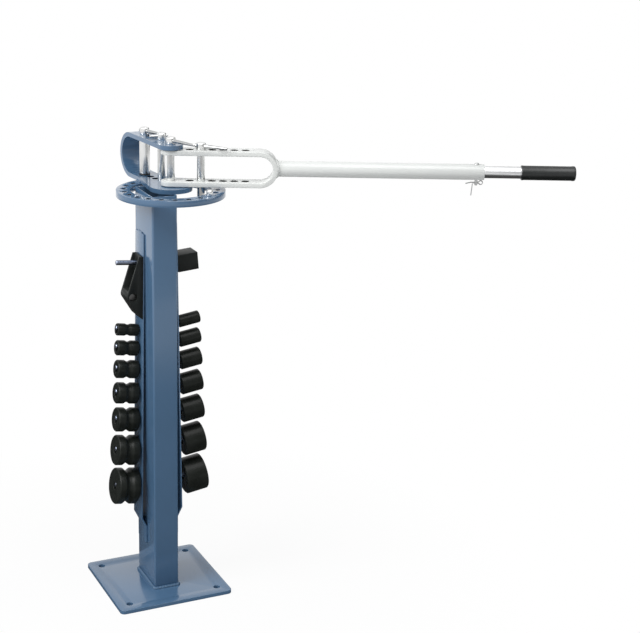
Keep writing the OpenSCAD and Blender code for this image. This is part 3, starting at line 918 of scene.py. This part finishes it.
@dataclass
class HeadedPin:
    """A lift-out pin with a cross bar through its head.

    Args:
        name: Start of the names of its pieces and nodes.
        body: Body that it rides on.
        place: Place of the head's underside, with X along the cross bar.
        bar_len: Length of the bar from the axis to its tip.
        shaft_len: Length of the shaft below the head.
    """

    name: str
    body: Body
    place: Matrix
    bar_len: float
    shaft_len: float
    shaft_d: float = 16.0
    head: Point2 = (19.0, 14.0)
    bar: Point2 = (8.0, 5.0)
    stub: float = 13.0
    point: float = 1.2
    crown: float = 1.5
    edge: float = 0.4

    def build(self) -> None:
        """Build the pin and its cross bar."""
        radius, length, edge = self.shaft_d / 2, self.shaft_len, self.edge
        head, tall = self.head[0] / 2, self.head[1]
        across = move(z=tall / 2) @ spin("Y", 90.0)
        pin = Shape.turned([(0.0, -length), (radius - self.point, -length),
                            (radius, self.point - length), (radius, -2 * edge),
                            (radius + edge / 2, 0.0), (head - edge, 0.0), (head, edge),
                            (head, tall - self.crown), (head - self.crown, tall), (0.0, tall)])
        pin.cut(Cut.LESS, Shape.rod(self.bar[0] + 0.1, 1.5 * head, 40).placed(across)).softened(0.3)
        pin.piece(self.name + "_pin_turned", PIN_STEEL, self.body, self.name + "_pin", self.place)
        thick, thin = self.bar[0] / 2, self.bar[1] / 2
        tip = arc(thin, 0.0, 90.0, 6, (0.0, self.bar_len - thin))[:-1]
        bar = Shape.turned([(0.0, -self.stub), (thick - 2 * edge, -self.stub),
                            (thick, 2 * edge - self.stub), (thick, head), *tip,
                            (0.0, self.bar_len)], 32)
        bar.piece(self.name + "_cross_bar", BAR_STEEL, self.body, self.name + "_bar",
                  self.place @ across)


@dataclass
class PinSet(Assembly):
    """The four headed pins, the loose sleeve, the rubber ring and the stop pin.

    Args:
        head: The head that three of the pins stand in.
        lever: The lever that carries the forming pin.
    """

    head: Head
    lever: "Lever"
    # Turn and length of the cross bars of the pivot, forming, rear and second pin.
    bars: tuple[Point2, ...] = ((-68.0, 70.0), (-50.0, 60.0), (-68.0, 54.0), (172.0, 25.0))
    frame_top: float = 953.0
    fork_top: float = 942.75
    frame_pin_len: float = 93.0
    forming_pin_len: float = 98.0
    sleeve: Point2 = (22.0, 16.2)
    sleeve_ends: Point2 = (871.6, 943.7)
    seal_bore: float = 16.6
    seal_d: float = 3.0
    seal_foot: float = 868.3
    stop: Point2 = (13.5, 11.6)
    stop_crown: float = 1.5
    spigot: Point2 = (9.9, 14.0)
    spigot_point: Point2 = (1.05, 1.1)

    def build_pins(self) -> None:
        """Build the four headed pins with their cross bars."""
        frame_axes, turn = self.head.along_frame(), self.head.frame_turn()
        forming = self.lever.axes() @ move(self.lever.forming_reach)
        up, length = move(z=self.frame_top), self.frame_pin_len
        pins = (
            ("pivot", Body.PIVOT, frame_axes @ up, turn, length),
            ("forming", Body.FORMING, forming @ move(z=self.fork_top), self.lever.turn,
             self.forming_pin_len),
            ("rear", Body.REAR, frame_axes @ move(*self.head.rear) @ up, turn, length),
            ("second", Body.SECOND, frame_axes @ move(*self.head.second) @ up, turn, length),
        )
        for (name, body, seat, seat_turn, shaft_len), (bar_turn, bar_len) in zip(pins, self.bars):
            HeadedPin(name, body, seat @ spin("Z", bar_turn - seat_turn), bar_len, shaft_len).build()

    def build_sleeve(self) -> None:
        """Build the loose sleeve and the rubber ring under it."""
        place = self.head.along_frame() @ move(*self.head.rear)
        sleeve = Shape.pipe(*self.sleeve, *self.sleeve_ends).softened(0.7, 3)
        sleeve.piece("roller_sleeve_turned", PIN_STEEL, Body.SLEEVE, "pin_sleeve", place)
        radius = self.seal_d / 2
        middle = (self.seal_bore / 2 + radius, self.seal_foot + radius)
        ring = Shape.turned(arc(radius, 0.0, 337.5, 15, middle))
        ring.piece("seal_ring", GRIP_RUBBER, Body.SLEEVE, "rubber_ring", place)

    def build_stop(self) -> None:
        """Build the stop pin that stands in one index hole."""
        radius, thin = self.stop[0] / 2, self.spigot[0] / 2
        top, foot = self.stop[1], -self.spigot[1]
        narrow, rise = self.spigot_point
        stop = Shape.turned([(0.0, foot), (thin - narrow, foot), (thin, foot + rise), (thin, 0.0),
                             (radius, 0.0), (radius, top - self.stop_crown),
                             (radius - self.stop_crown, top), (0.0, top)]).softened(0.3)
        place = self.head.pivot() @ spin("Z", self.head.hole_start)
        stop.piece("stop_pin_turned", PIN_STEEL, Body.STOP, "stop_pin",
                   place @ move(self.head.hole_circle / 2, z=self.head.ring_top))


@dataclass
class Lever(Assembly):
    """Fork, handle tube, inner handle, grip and the parts that lock the handle."""

    turn: float = -24.0
    pivot_x: float = 32.0
    foot: float = 869.25
    bar: Flat = field(default_factory=lambda: Flat(40.0, 10.0, 215.0, 73.5))
    hole_d: float = 16.1
    hole_start: float = 38.0
    hole_pitch: float = 22.3
    hole_count: int = 6
    forming_reach: float = 60.3
    tube: Point2 = (32.0, 24.6)
    tube_end: float = 630.0
    rod: Point2 = (24.0, 18.0)
    rod_ends: Point2 = (329.5, 809.5)
    grip: Point2 = (30.0, 110.0)
    grip_start: float = 705.5
    grip_play: float = 0.05
    grip_edge: float = 0.4
    # The lip above the grip's start, the swell below its end, and the waist between them.
    grip_lip: Triple = (0.6, 2.6, 4.2)
    grip_swell: Point2 = (9.0, 6.5)
    grip_waist: float = 0.45
    grip_dome: float = 3.75
    grip_wall: float = 5.7
    hitch_d: float = 6.0
    hitch_inset: float = 15.0
    hitch_tail: float = 11.0
    hitch_head: Point2 = (10.0, 3.0)
    hitch_edge: float = 0.4
    hitch_point: float = 0.7
    wire_d: float = 2.2
    neck: float = 5.4
    eye: float = 4.0
    # Length of the split pin's upper and lower leg, and how far each droops, in degrees.
    legs: tuple[Point2, Point2] = ((16.0, 8.0), (27.0, 82.0))

    def axes(self) -> Matrix:
        """Return the lever's axes, with X from the pivot to the grip."""
        return move(self.pivot_x) @ spin("Z", self.turn)

    def middle(self) -> Matrix:
        """Return the lever's axes at half the height of the fork."""
        return self.axes() @ move(z=self.foot + self.bar.height / 2)

    def handle(self) -> Matrix:
        """Return the handle's axes, with Z from the pivot to the grip."""
        return self.middle() @ spin("Y", 90.0)

    def build_fork(self) -> None:
        """Build the fork with its rows of holes."""
        reaches = [0.0, *(self.hole_start + self.hole_pitch * i for i in range(self.hole_count))]
        fork = self.bar.shape().drilled(self.hole_d, self.bar.height, [move(x) for x in reaches])
        # The walls of the fork's holes are drawn dark as painted shade.
        walls = ShadedBores([(x, 0.0) for x in reaches], self.hole_d / 2, PAINTED_SHADE_FORK_BORE_WALL)
        fork.softened(1.2, 3).piece("lever_fork", WHITE, Body.LEVER, "fork",
                                    self.axes() @ move(z=self.foot), walls)

    def build_tube(self) -> None:
        """Build the handle tube, saddled on the fork's bend, and its weld."""
        outer, half = self.tube[0] / 2, self.bar.height / 2
        bend = self.bar.reach - half
        saddle = Shape.rod(2 * half, 1.5 * outer, 160).placed(move(z=bend) @ spin("X", 90.0))
        tube = Shape.pipe(*self.tube, self.bar.reach - outer, self.tube_end)
        tube.cut(Cut.LESS, saddle).softened(1.1, 3, 50.0)
        tube.piece("handle_tube_painted", WHITE, Body.LEVER, "handle_tube", self.handle())
        around = arc(outer, 0.0, 360.0, 56)[:-1]
        wide = 1.0 + 0.5 / outer
        path = [Vector((bend + math.sqrt(half ** 2 - z ** 2) + 0.4, wide * y, wide * z))
                for y, z in around]
        weld = Shape.bead(path, 2.6, 0.1, closed=True)
        weld.piece("handle_weld", WHITE, Body.LEVER, place=self.middle())

    def build_inner_handle(self) -> None:
        """Build the bright inner handle."""
        rod = Shape.pipe(*self.rod, *self.rod_ends, 64).softened(0.6)
        rod.piece("inner_handle_bright", ROD_CHROME, Body.LEVER, "inner_handle", self.handle())

    def build_grip(self) -> None:
        """Build the rubber grip with its lip and rounded end."""
        radius, inner = self.grip[0] / 2, self.rod[0] / 2 + self.grip_play
        start, end = self.grip_start, self.grip_start + self.grip[1]
        waist, inside = radius - self.grip_waist, end - self.grip_wall
        dome = arc(self.grip_dome, 0.0, 90.0, 8, (radius - self.grip_dome, end - self.grip_dome))
        low, high, narrow = (start + rise for rise in self.grip_lip)
        taper, swell = (end - drop for drop in self.grip_swell)
        grip = Shape.turned([(inner, start), (radius - self.grip_edge, start), (radius, low),
                             (radius, high), (waist, narrow), (waist, taper), (radius, swell),
                             *dome, (0.0, end), (0.0, inside), (inner, inside)], 72)
        grip.piece("handle_grip", GRIP_RUBBER, Body.LEVER, "grip", self.handle())

    def build_hitch(self) -> None:
        """Build the locking pin of the inner handle and the split pin through its foot."""
        place = self.middle() @ move(self.tube_end - self.hitch_inset)
        radius, reach, edge = self.hitch_d / 2, self.tube[0] / 2, self.hitch_edge
        head, tall = self.hitch_head[0] / 2, self.hitch_head[1]
        foot = -reach - self.hitch_tail
        dome = [(head * x, reach + edge + (tall - edge) * z) for x, z in arc(1.0, 0.0, 75.0, 5)]
        pin = Shape.turned([(0.0, foot), (radius - self.hitch_point, foot),
                            (radius, foot + self.hitch_point), (radius, reach),
                            (head - edge, reach), *dome, (0.0, reach + tall)], 32)
        pin.piece("handle_locking_pin", BAR_STEEL, Body.LEVER, "hitch_pin", place)
        self.bend_split_pin(place @ move(z=-reach - self.hitch_tail / 2))

    def bend_split_pin(self, place: Matrix) -> None:
        """Bend the split pin from one wire, with its eye and two spread legs.

        Args:
            place: Middle of the split pin's hole, with X along the lever.
        """
        neck = self.neck
        upper, lower = (polar(length, 180.0 + droop, (-neck, 0.0)) for length, droop in self.legs)
        bends = [upper, (-neck - 5.0, 0.4), (-neck, 0.5),
                 *arc(self.eye, 160.0, -160.0, 10, (neck + self.eye, 0.0)),
                 (-neck, -0.5), (-neck - 1.6, -2.2), lower]
        path = walk([Vector((x, 0.0, z)) for x, z in bends], 1.0)
        wire = Shape.bead(path, self.wire_d / 2, sides=12)
        wire.piece("split_pin_wire", BAR_STEEL, Body.LEVER, "split_pin", place)


@dataclass
class Die:
    """One die of the racks.

    Args:
        diameter: Outer diameter.
        grooved: True for a die with a round groove.
    """

    diameter: float
    grooved: bool
    length: float = 46.0
    bore: float = 16.2
    chamfer: float = 2.0
    lead: float = 0.8
    largest: float = 76.2
    groove_width: float = 19.0
    groove_depth: float = 5.8
    groove_power: float = 1.2

    def groove(self) -> list[Point2]:
        """Return the outline of the groove, which a plain die lacks.

        Returns:
            Points as radius and height, from the inner edge to the outer.
        """
        if not self.grooved:
            return []
        share = self.diameter / self.largest
        half, deep = self.groove_width * (1.0 + share) / 4, self.groove_depth * share
        turns = [15.0 * i for i in range(-6, 7)]
        return [(self.diameter / 2 - deep * max(0.0, math.cos(math.radians(t))) ** self.groove_power,
                 self.length / 2 + half * t / 90.0) for t in turns]

    def shape(self) -> Shape:
        """Return the die, with Z from its inner to its outer face.

        Returns:
            The die without its softened edges.
        """
        radius, bore, length = self.diameter / 2, self.bore / 2, self.length
        rim = min(self.chamfer, (radius - bore) / 3)
        lead = min(self.lead, rim)
        return Shape.turned([(bore + lead, 0.0), (radius - rim, 0.0), (radius, rim),
                             *self.groove(), (radius, length - rim), (radius - rim, length),
                             (bore + lead, length), (bore, length - lead), (bore, lead)], 72)


@dataclass
class Rack(Assembly):
    """One strip on the column's side, with its pegs, seven dies and one block.

    Args:
        left: True for the rack on the left, which is turned half round.
        top: Height of the strip's top.
        first_die: Height of the smallest die.
        top_peg: Height of the block's peg.
        die_gap: Distance between the strip and a die's nearest edge.
    """

    left: bool
    top: float
    first_die: float
    top_peg: float
    die_gap: float
    root: Point2 = (26.5, -17.5)
    strip: Triple = (3.0, 50.0, 620.0)
    standoff: float = 10.0
    return_len: float = 20.0
    tail_len: float = 37.0
    weld_half: float = 12.0
    peg: Point2 = (10.0, 51.0)
    peg_root: float = -1.6
    peg_chamfer: float = 1.0
    peg_tilt: float = 8.5
    top_tilt: float = 5.0
    die_space: float = 11.0
    dies: tuple[float, ...] = (25.4, 31.75, 38.1, 44.45, 50.8, 63.5, 76.2)
    die_bore: float = 16.2
    seat_gap: float = 0.3
    block_shift: float = 4.5

    def axes(self) -> Matrix:
        """Return the rack's axes, with X away from the column."""
        return spin("Z", 180.0 if self.left else 0.0) @ move(*self.root)

    def side(self) -> str:
        """Return the side of the column that the rack is on."""
        return "left" if self.left else "right"

    def lean(self) -> float:
        """Return the strip's slope in degrees."""
        return math.degrees(math.atan(self.standoff / self.strip[2]))

    def face(self, height: float) -> float:
        """Return the distance of the strip's outer face from the column at a height."""
        return self.strip[0] + self.standoff * (self.top - height) / self.strip[2]

    def at_peg(self, height: float, tilt: float) -> Matrix:
        """Return the root of a peg at a height, with Z along the tilted peg."""
        return self.axes() @ move(self.face(height), 0.0, height) @ spin("Y", 90.0 - tilt)

    def hang(self) -> float:
        """Return how far a bore's middle hangs below its peg's middle."""
        return (self.die_bore - self.peg[0]) / 2 - self.seat_gap

    def heights(self) -> list[float]:
        """Return the heights of the dies, from the smallest down.

        Returns:
            One height for each die.
        """
        found = [self.first_die]
        for above, below in zip(self.dies, self.dies[1:]):
            found.append(found[-1] - (above + below) / 2 - self.die_space)
        return found

    def build_strip(self) -> None:
        """Build the strip, bent back to the column at its foot, and its welds."""
        thick, width, slope = self.strip
        bend, out = self.top - slope, self.standoff
        tail = bend - self.return_len
        foot = tail - self.tail_len
        profile = [(0.0, self.top), (thick, self.top), (out + thick, bend), (thick, tail),
                   (thick, foot), (0.0, foot), (0.0, tail), (out, bend)]
        strip = Shape.upright(profile, width).softened(0.6, 2, 50.0)
        for height in (self.top, foot):
            ends = [Vector((1.0, y, height)) for y in (-self.weld_half, self.weld_half)]
            strip.joined([Shape.bead(walk(ends, 1.5), 1.8, 0.15)])
        strip.piece(self.side() + "_rack_strip", BLUE, Body.STAND, self.side() + "_strip", self.axes())

    def build_pegs(self) -> None:
        """Build the pegs with chamfered ends, run into the strip."""
        radius, length = self.peg[0] / 2, self.peg[1]
        profile = [(0.0, self.peg_root), (radius, self.peg_root),
                   (radius, length - self.peg_chamfer), (radius - self.peg_chamfer, length),
                   (0.0, length)]
        spots = [self.at_peg(height, self.peg_tilt) @ move(-self.hang()) for height in self.heights()]
        shift = self.block_shift if self.left else 0.0
        spots.append(self.at_peg(self.top_peg, self.top_tilt) @ move(y=shift))
        pegs = Shape().joined(Shape.turned(profile, 32).placed(spot) for spot in spots)
        # The pegs take the dark, blue-tinted steel: painted shade and a painted blue reflection.
        pegs.piece(self.side() + "_rack_pegs", SHADED_PEG_STEEL, Body.STAND, self.side() + "_pegs")

    def build_dies(self) -> None:
        """Build the seven dies on their pegs."""
        kind = "grooved" if self.left else "plain"
        rise = math.sin(math.radians(self.peg_tilt - self.lean()))
        for index, (size, height) in enumerate(zip(self.dies, self.heights()), 1):
            place = self.at_peg(height, self.peg_tilt) @ move(z=self.die_gap + size / 2 * rise)
            Die(size, self.left).shape().softened(0.35).piece(
                "%s_die_turned_%d" % (kind, index), OXIDE, "%s_tool_%d" % (kind, index),
                "%s_die_%d" % (kind, index), place)

    def build_block(self) -> None:
        """Build the block on the top peg, channelled on the left and square on the right."""
        if self.left:
            self.mill_channel_block()
        else:
            self.mill_square_block()

    def mill_channel_block(self) -> None:
        """Build the wedge-shaped channel block with its pocket, hook hole and cross bore."""
        width, wall, height, floor = 43.0, 5.0, 132.0, 60.0
        nose, radius, cross_d = (20.5, 48.0), 13.0, 17.0
        hook, hook_d, hook_play = 114.0, 13.0, 0.9
        crown, toe = (8.5, height), (10.0, 7.0)
        turns = []
        for point, sign in ((crown, -1), (toe, 1)):
            away = Vector(point) - Vector(nose)
            turns.append(math.degrees(math.atan2(away.y, away.x) + sign * math.acos(radius / away.length)))
        side = [(0.0, 0.0), (0.0, height), crown, *arc(radius, *turns, 16, nose), toe]
        inside = width / 2 - wall
        pocket = Shape.block((wall, -inside, floor), (height, inside, 2 * height))
        cross = Shape.rod(cross_d, width).placed(move(nose[0], 0.0, nose[1]) @ spin("X", 90.0))
        hole = Shape.rod(hook_d, 3 * wall).placed(move(z=hook) @ spin("Y", 90.0))
        block = Shape.upright(side, width).cut(Cut.LESS, pocket, cross, hole).softened(0.6)
        place = (self.axes() @ move(self.face(self.top_peg), self.block_shift, self.top_peg)
                 @ spin("Y", -self.lean()) @ move(self.seat_gap, 0.0, -hook - hook_play))
        block.piece("channel_block_milled", BLOCK_OXIDE, Body.CHANNEL, "channel_block", place)

    def mill_square_block(self) -> None:
        """Build the square block with its bore."""
        length, width, height = 44.0, 40.0, 35.5
        lift = self.seat_gap + height / 2 * math.tan(math.radians(self.top_tilt - self.lean()))
        block = Shape.block((-height / 2, -width / 2, 0.0), (height / 2, width / 2, length))
        block.drilled(self.die_bore, length, [move()], 48).softened(0.7, 3)
        block.piece("square_block_milled", BLOCK_OXIDE, Body.SQUARE, "square_block",
                    self.at_peg(self.top_peg, self.top_tilt) @ move(self.hang(), z=lift))


# Studio


@dataclass
class Studio(Assembly):
    """Floor, backdrop, lamps and camera, in metres and degrees."""

    eye: Triple = (-1.01310, -2.85033, 1.55047)
    yaw: float = 25.89
    pitch: float = 16.12
    roll: float = 1.36
    lens: float = 86.466
    sensor: float = 36.0
    shift_y: float = -0.057
    far: float = 200.0
    aim: Triple = (0.1, 0.0, 0.55)
    # Name, place, size and power of each lamp.
    lamps: tuple[tuple[str, Triple, float, float], ...] = (
        ("key", (-3.4, -0.5, 3.2), 2.4, 150.0),
        ("top", (0.2, -1.4, 4.0), 2.6, 72.0),
        ("side", (3.4, -1.2, 1.4), 1.6, 16.0),
    )
    fill: tuple[Triple, float] = ((0.93, 0.96, 1.0), 0.20)
    floor_half: float = 30.0
    floor_z: float = -0.0002
    floor_grey: float = 0.86
    # The floor as the camera sees it and as gloss mirrors it: from where to where, dark and white.
    shown: tuple[float, ...] = (0.30, 0.80, 0.92, 1.0)
    mirrored: tuple[float, ...] = (1.4, 2.6, 0.06, 1.0)
    card_foot: float = -0.5
    # Name, first and last angle, radius, top and grey of each card.
    cards: tuple[tuple[str, float, float, float, float, float], ...] = (
        ("grey_card", -95.0, -32.0, 6.0, 4.0, 0.42),
        ("dark_card", -32.0, 50.0, 6.0, 4.0, 0.07),
        ("low_card", 95.0, 150.0, 1.2, 0.42, 0.02),
    )

    def build_camera(self) -> None:
        """Place the camera where the photograph was taken from."""
        data = bpy.data.cameras.new("camera")
        data.lens = self.lens
        data.sensor_width = self.sensor
        data.shift_y = self.shift_y
        data.clip_end = self.far
        yaw, pitch, roll = (math.radians(a) for a in (self.yaw, self.pitch, self.roll))
        ahead = Vector((math.sin(yaw) * math.cos(pitch), math.cos(yaw) * math.cos(pitch),
                        -math.sin(pitch)))
        level = Vector((math.cos(yaw), -math.sin(yaw), 0.0))
        above = level.cross(ahead)
        right = math.cos(roll) * level + math.sin(roll) * above
        top = math.cos(roll) * above - math.sin(roll) * level
        camera = in_scene("camera", data)
        camera.matrix_world = (Matrix.Translation(self.eye)
                               @ Matrix((right, top, -ahead)).transposed().to_4x4())
        bpy.context.scene.camera = camera

    def build_world(self) -> None:
        """Light the world evenly, and show it white to the camera and to bright metal."""
        world = bpy.data.worlds.new("studio")
        bpy.context.scene.world = world
        graph = Graph.cleared(world)
        rays = graph.add("LightPath").outputs
        seen = graph.add("Math", rays["Is Camera Ray"], rays["Is Glossy Ray"], operation="MAXIMUM")
        colour, strength = self.fill
        fill = graph.add("Background", Color=colour, Strength=strength)
        pale = graph.add("Background", Color=(1.0, 1.0, 1.0), Strength=1.0)
        graph.add("OutputWorld", graph.pick(seen.outputs[0], fill, pale).outputs[0])

    def stage(self, name: str, bm: bmesh.types.BMesh, material: bpy.types.Material) -> bpy.types.Object:
        """Put a floor or card into the scene, beside the object.

        Args:
            name: Its name.
            bm: Its mesh, which is used up.
            material: Its material.

        Returns:
            The staged object.
        """
        mesh = meshed(name, bm)
        mesh.materials.append(material)
        made = in_scene(name, mesh)
        return made

    def build_floor(self) -> None:
        """Lay the white floor, which keeps the soft shadow and mirrors dark near the object."""
        material = bpy.data.materials.new("white_floor")
        graph = Graph.cleared(material)
        white = (1.0, 1.0, 1.0)
        place = graph.add("TexCoord").outputs["Object"]
        away = graph.add("VectorMath", place, operation="LENGTH").outputs["Value"]
        rays = graph.add("LightPath").outputs
        seen = graph.add("Math", rays["Is Camera Ray"], graph.span(away, *self.shown),
                         operation="MULTIPLY")
        matt = graph.add("BsdfDiffuse", Color=(self.floor_grey,) * 3)
        plain = graph.pick(seen.outputs[0], matt, graph.add("Emission", Color=white, Strength=1.0))
        gloss = graph.add("Emission", Color=white, Strength=graph.span(away, *self.mirrored))
        graph.add("OutputMaterial", graph.pick(rays["Is Glossy Ray"], plain, gloss).outputs[0])
        bm = bmesh.new()
        bmesh.ops.create_grid(bm, x_segments=1, y_segments=1, size=self.floor_half)
        self.stage("floor", bm, material).location.z = self.floor_z

    def build_cards(self) -> None:
        """Stand grey and dark cards round the object, which only glossy surfaces reflect."""
        for name, start, end, radius, top, grey in self.cards:
            material = bpy.data.materials.new(name)
            graph = Graph.cleared(material)
            glow = graph.add("Emission", Color=(grey, grey, grey), Strength=1.0)
            graph.add("OutputMaterial", glow.outputs[0])
            bm = bmesh.new()
            foot = [bm.verts.new((x, y, self.card_foot)) for x, y in arc(radius, start, end, 24)]
            edges = [bm.edges.new(pair) for pair in zip(foot, foot[1:])]
            grown = bmesh.ops.extrude_edge_only(bm, edges=edges)["geom"]
            raise_copy(bm, grown, top - self.card_foot)
            card = self.stage(name, bm, material)
            card.visible_camera = card.visible_diffuse = card.visible_shadow = False

    def build_lamps(self) -> None:
        """Hang a large soft key lamp at the upper left and weaker ones above and at the right."""
        for name, spot, size, power in self.lamps:
            data = bpy.data.lights.new(name, "AREA")
            data.shape = "SQUARE"
            data.size = size
            data.energy = power
            lamp = in_scene(name, data)
            lamp.location = spot
            lamp.rotation_mode = "QUATERNION"
            lamp.rotation_quaternion = (Vector(self.aim) - Vector(spot)).to_track_quat("-Z", "Y")


def main() -> None:
    """Build the studio and every sub-assembly, and report each piece."""
    logging.basicConfig(level=logging.INFO, format="%(name)s: %(message)s")
    bpy.context.scene.view_settings.view_transform = "Standard"
    head, lever = Head(), Lever()
    left = Rack(left=True, top=773.0, first_die=565.0, top_peg=710.0, die_gap=1.0)
    right = Rack(left=False, top=802.0, first_die=584.0, top_peg=716.0, die_gap=5.0)
    for assembly in (Studio(), Stand(), head, lever, PinSet(head, lever), left, right):
        LOG.info("building the %s", type(assembly).__name__)
        assembly.build()


if __name__ == "__main__":
    main()
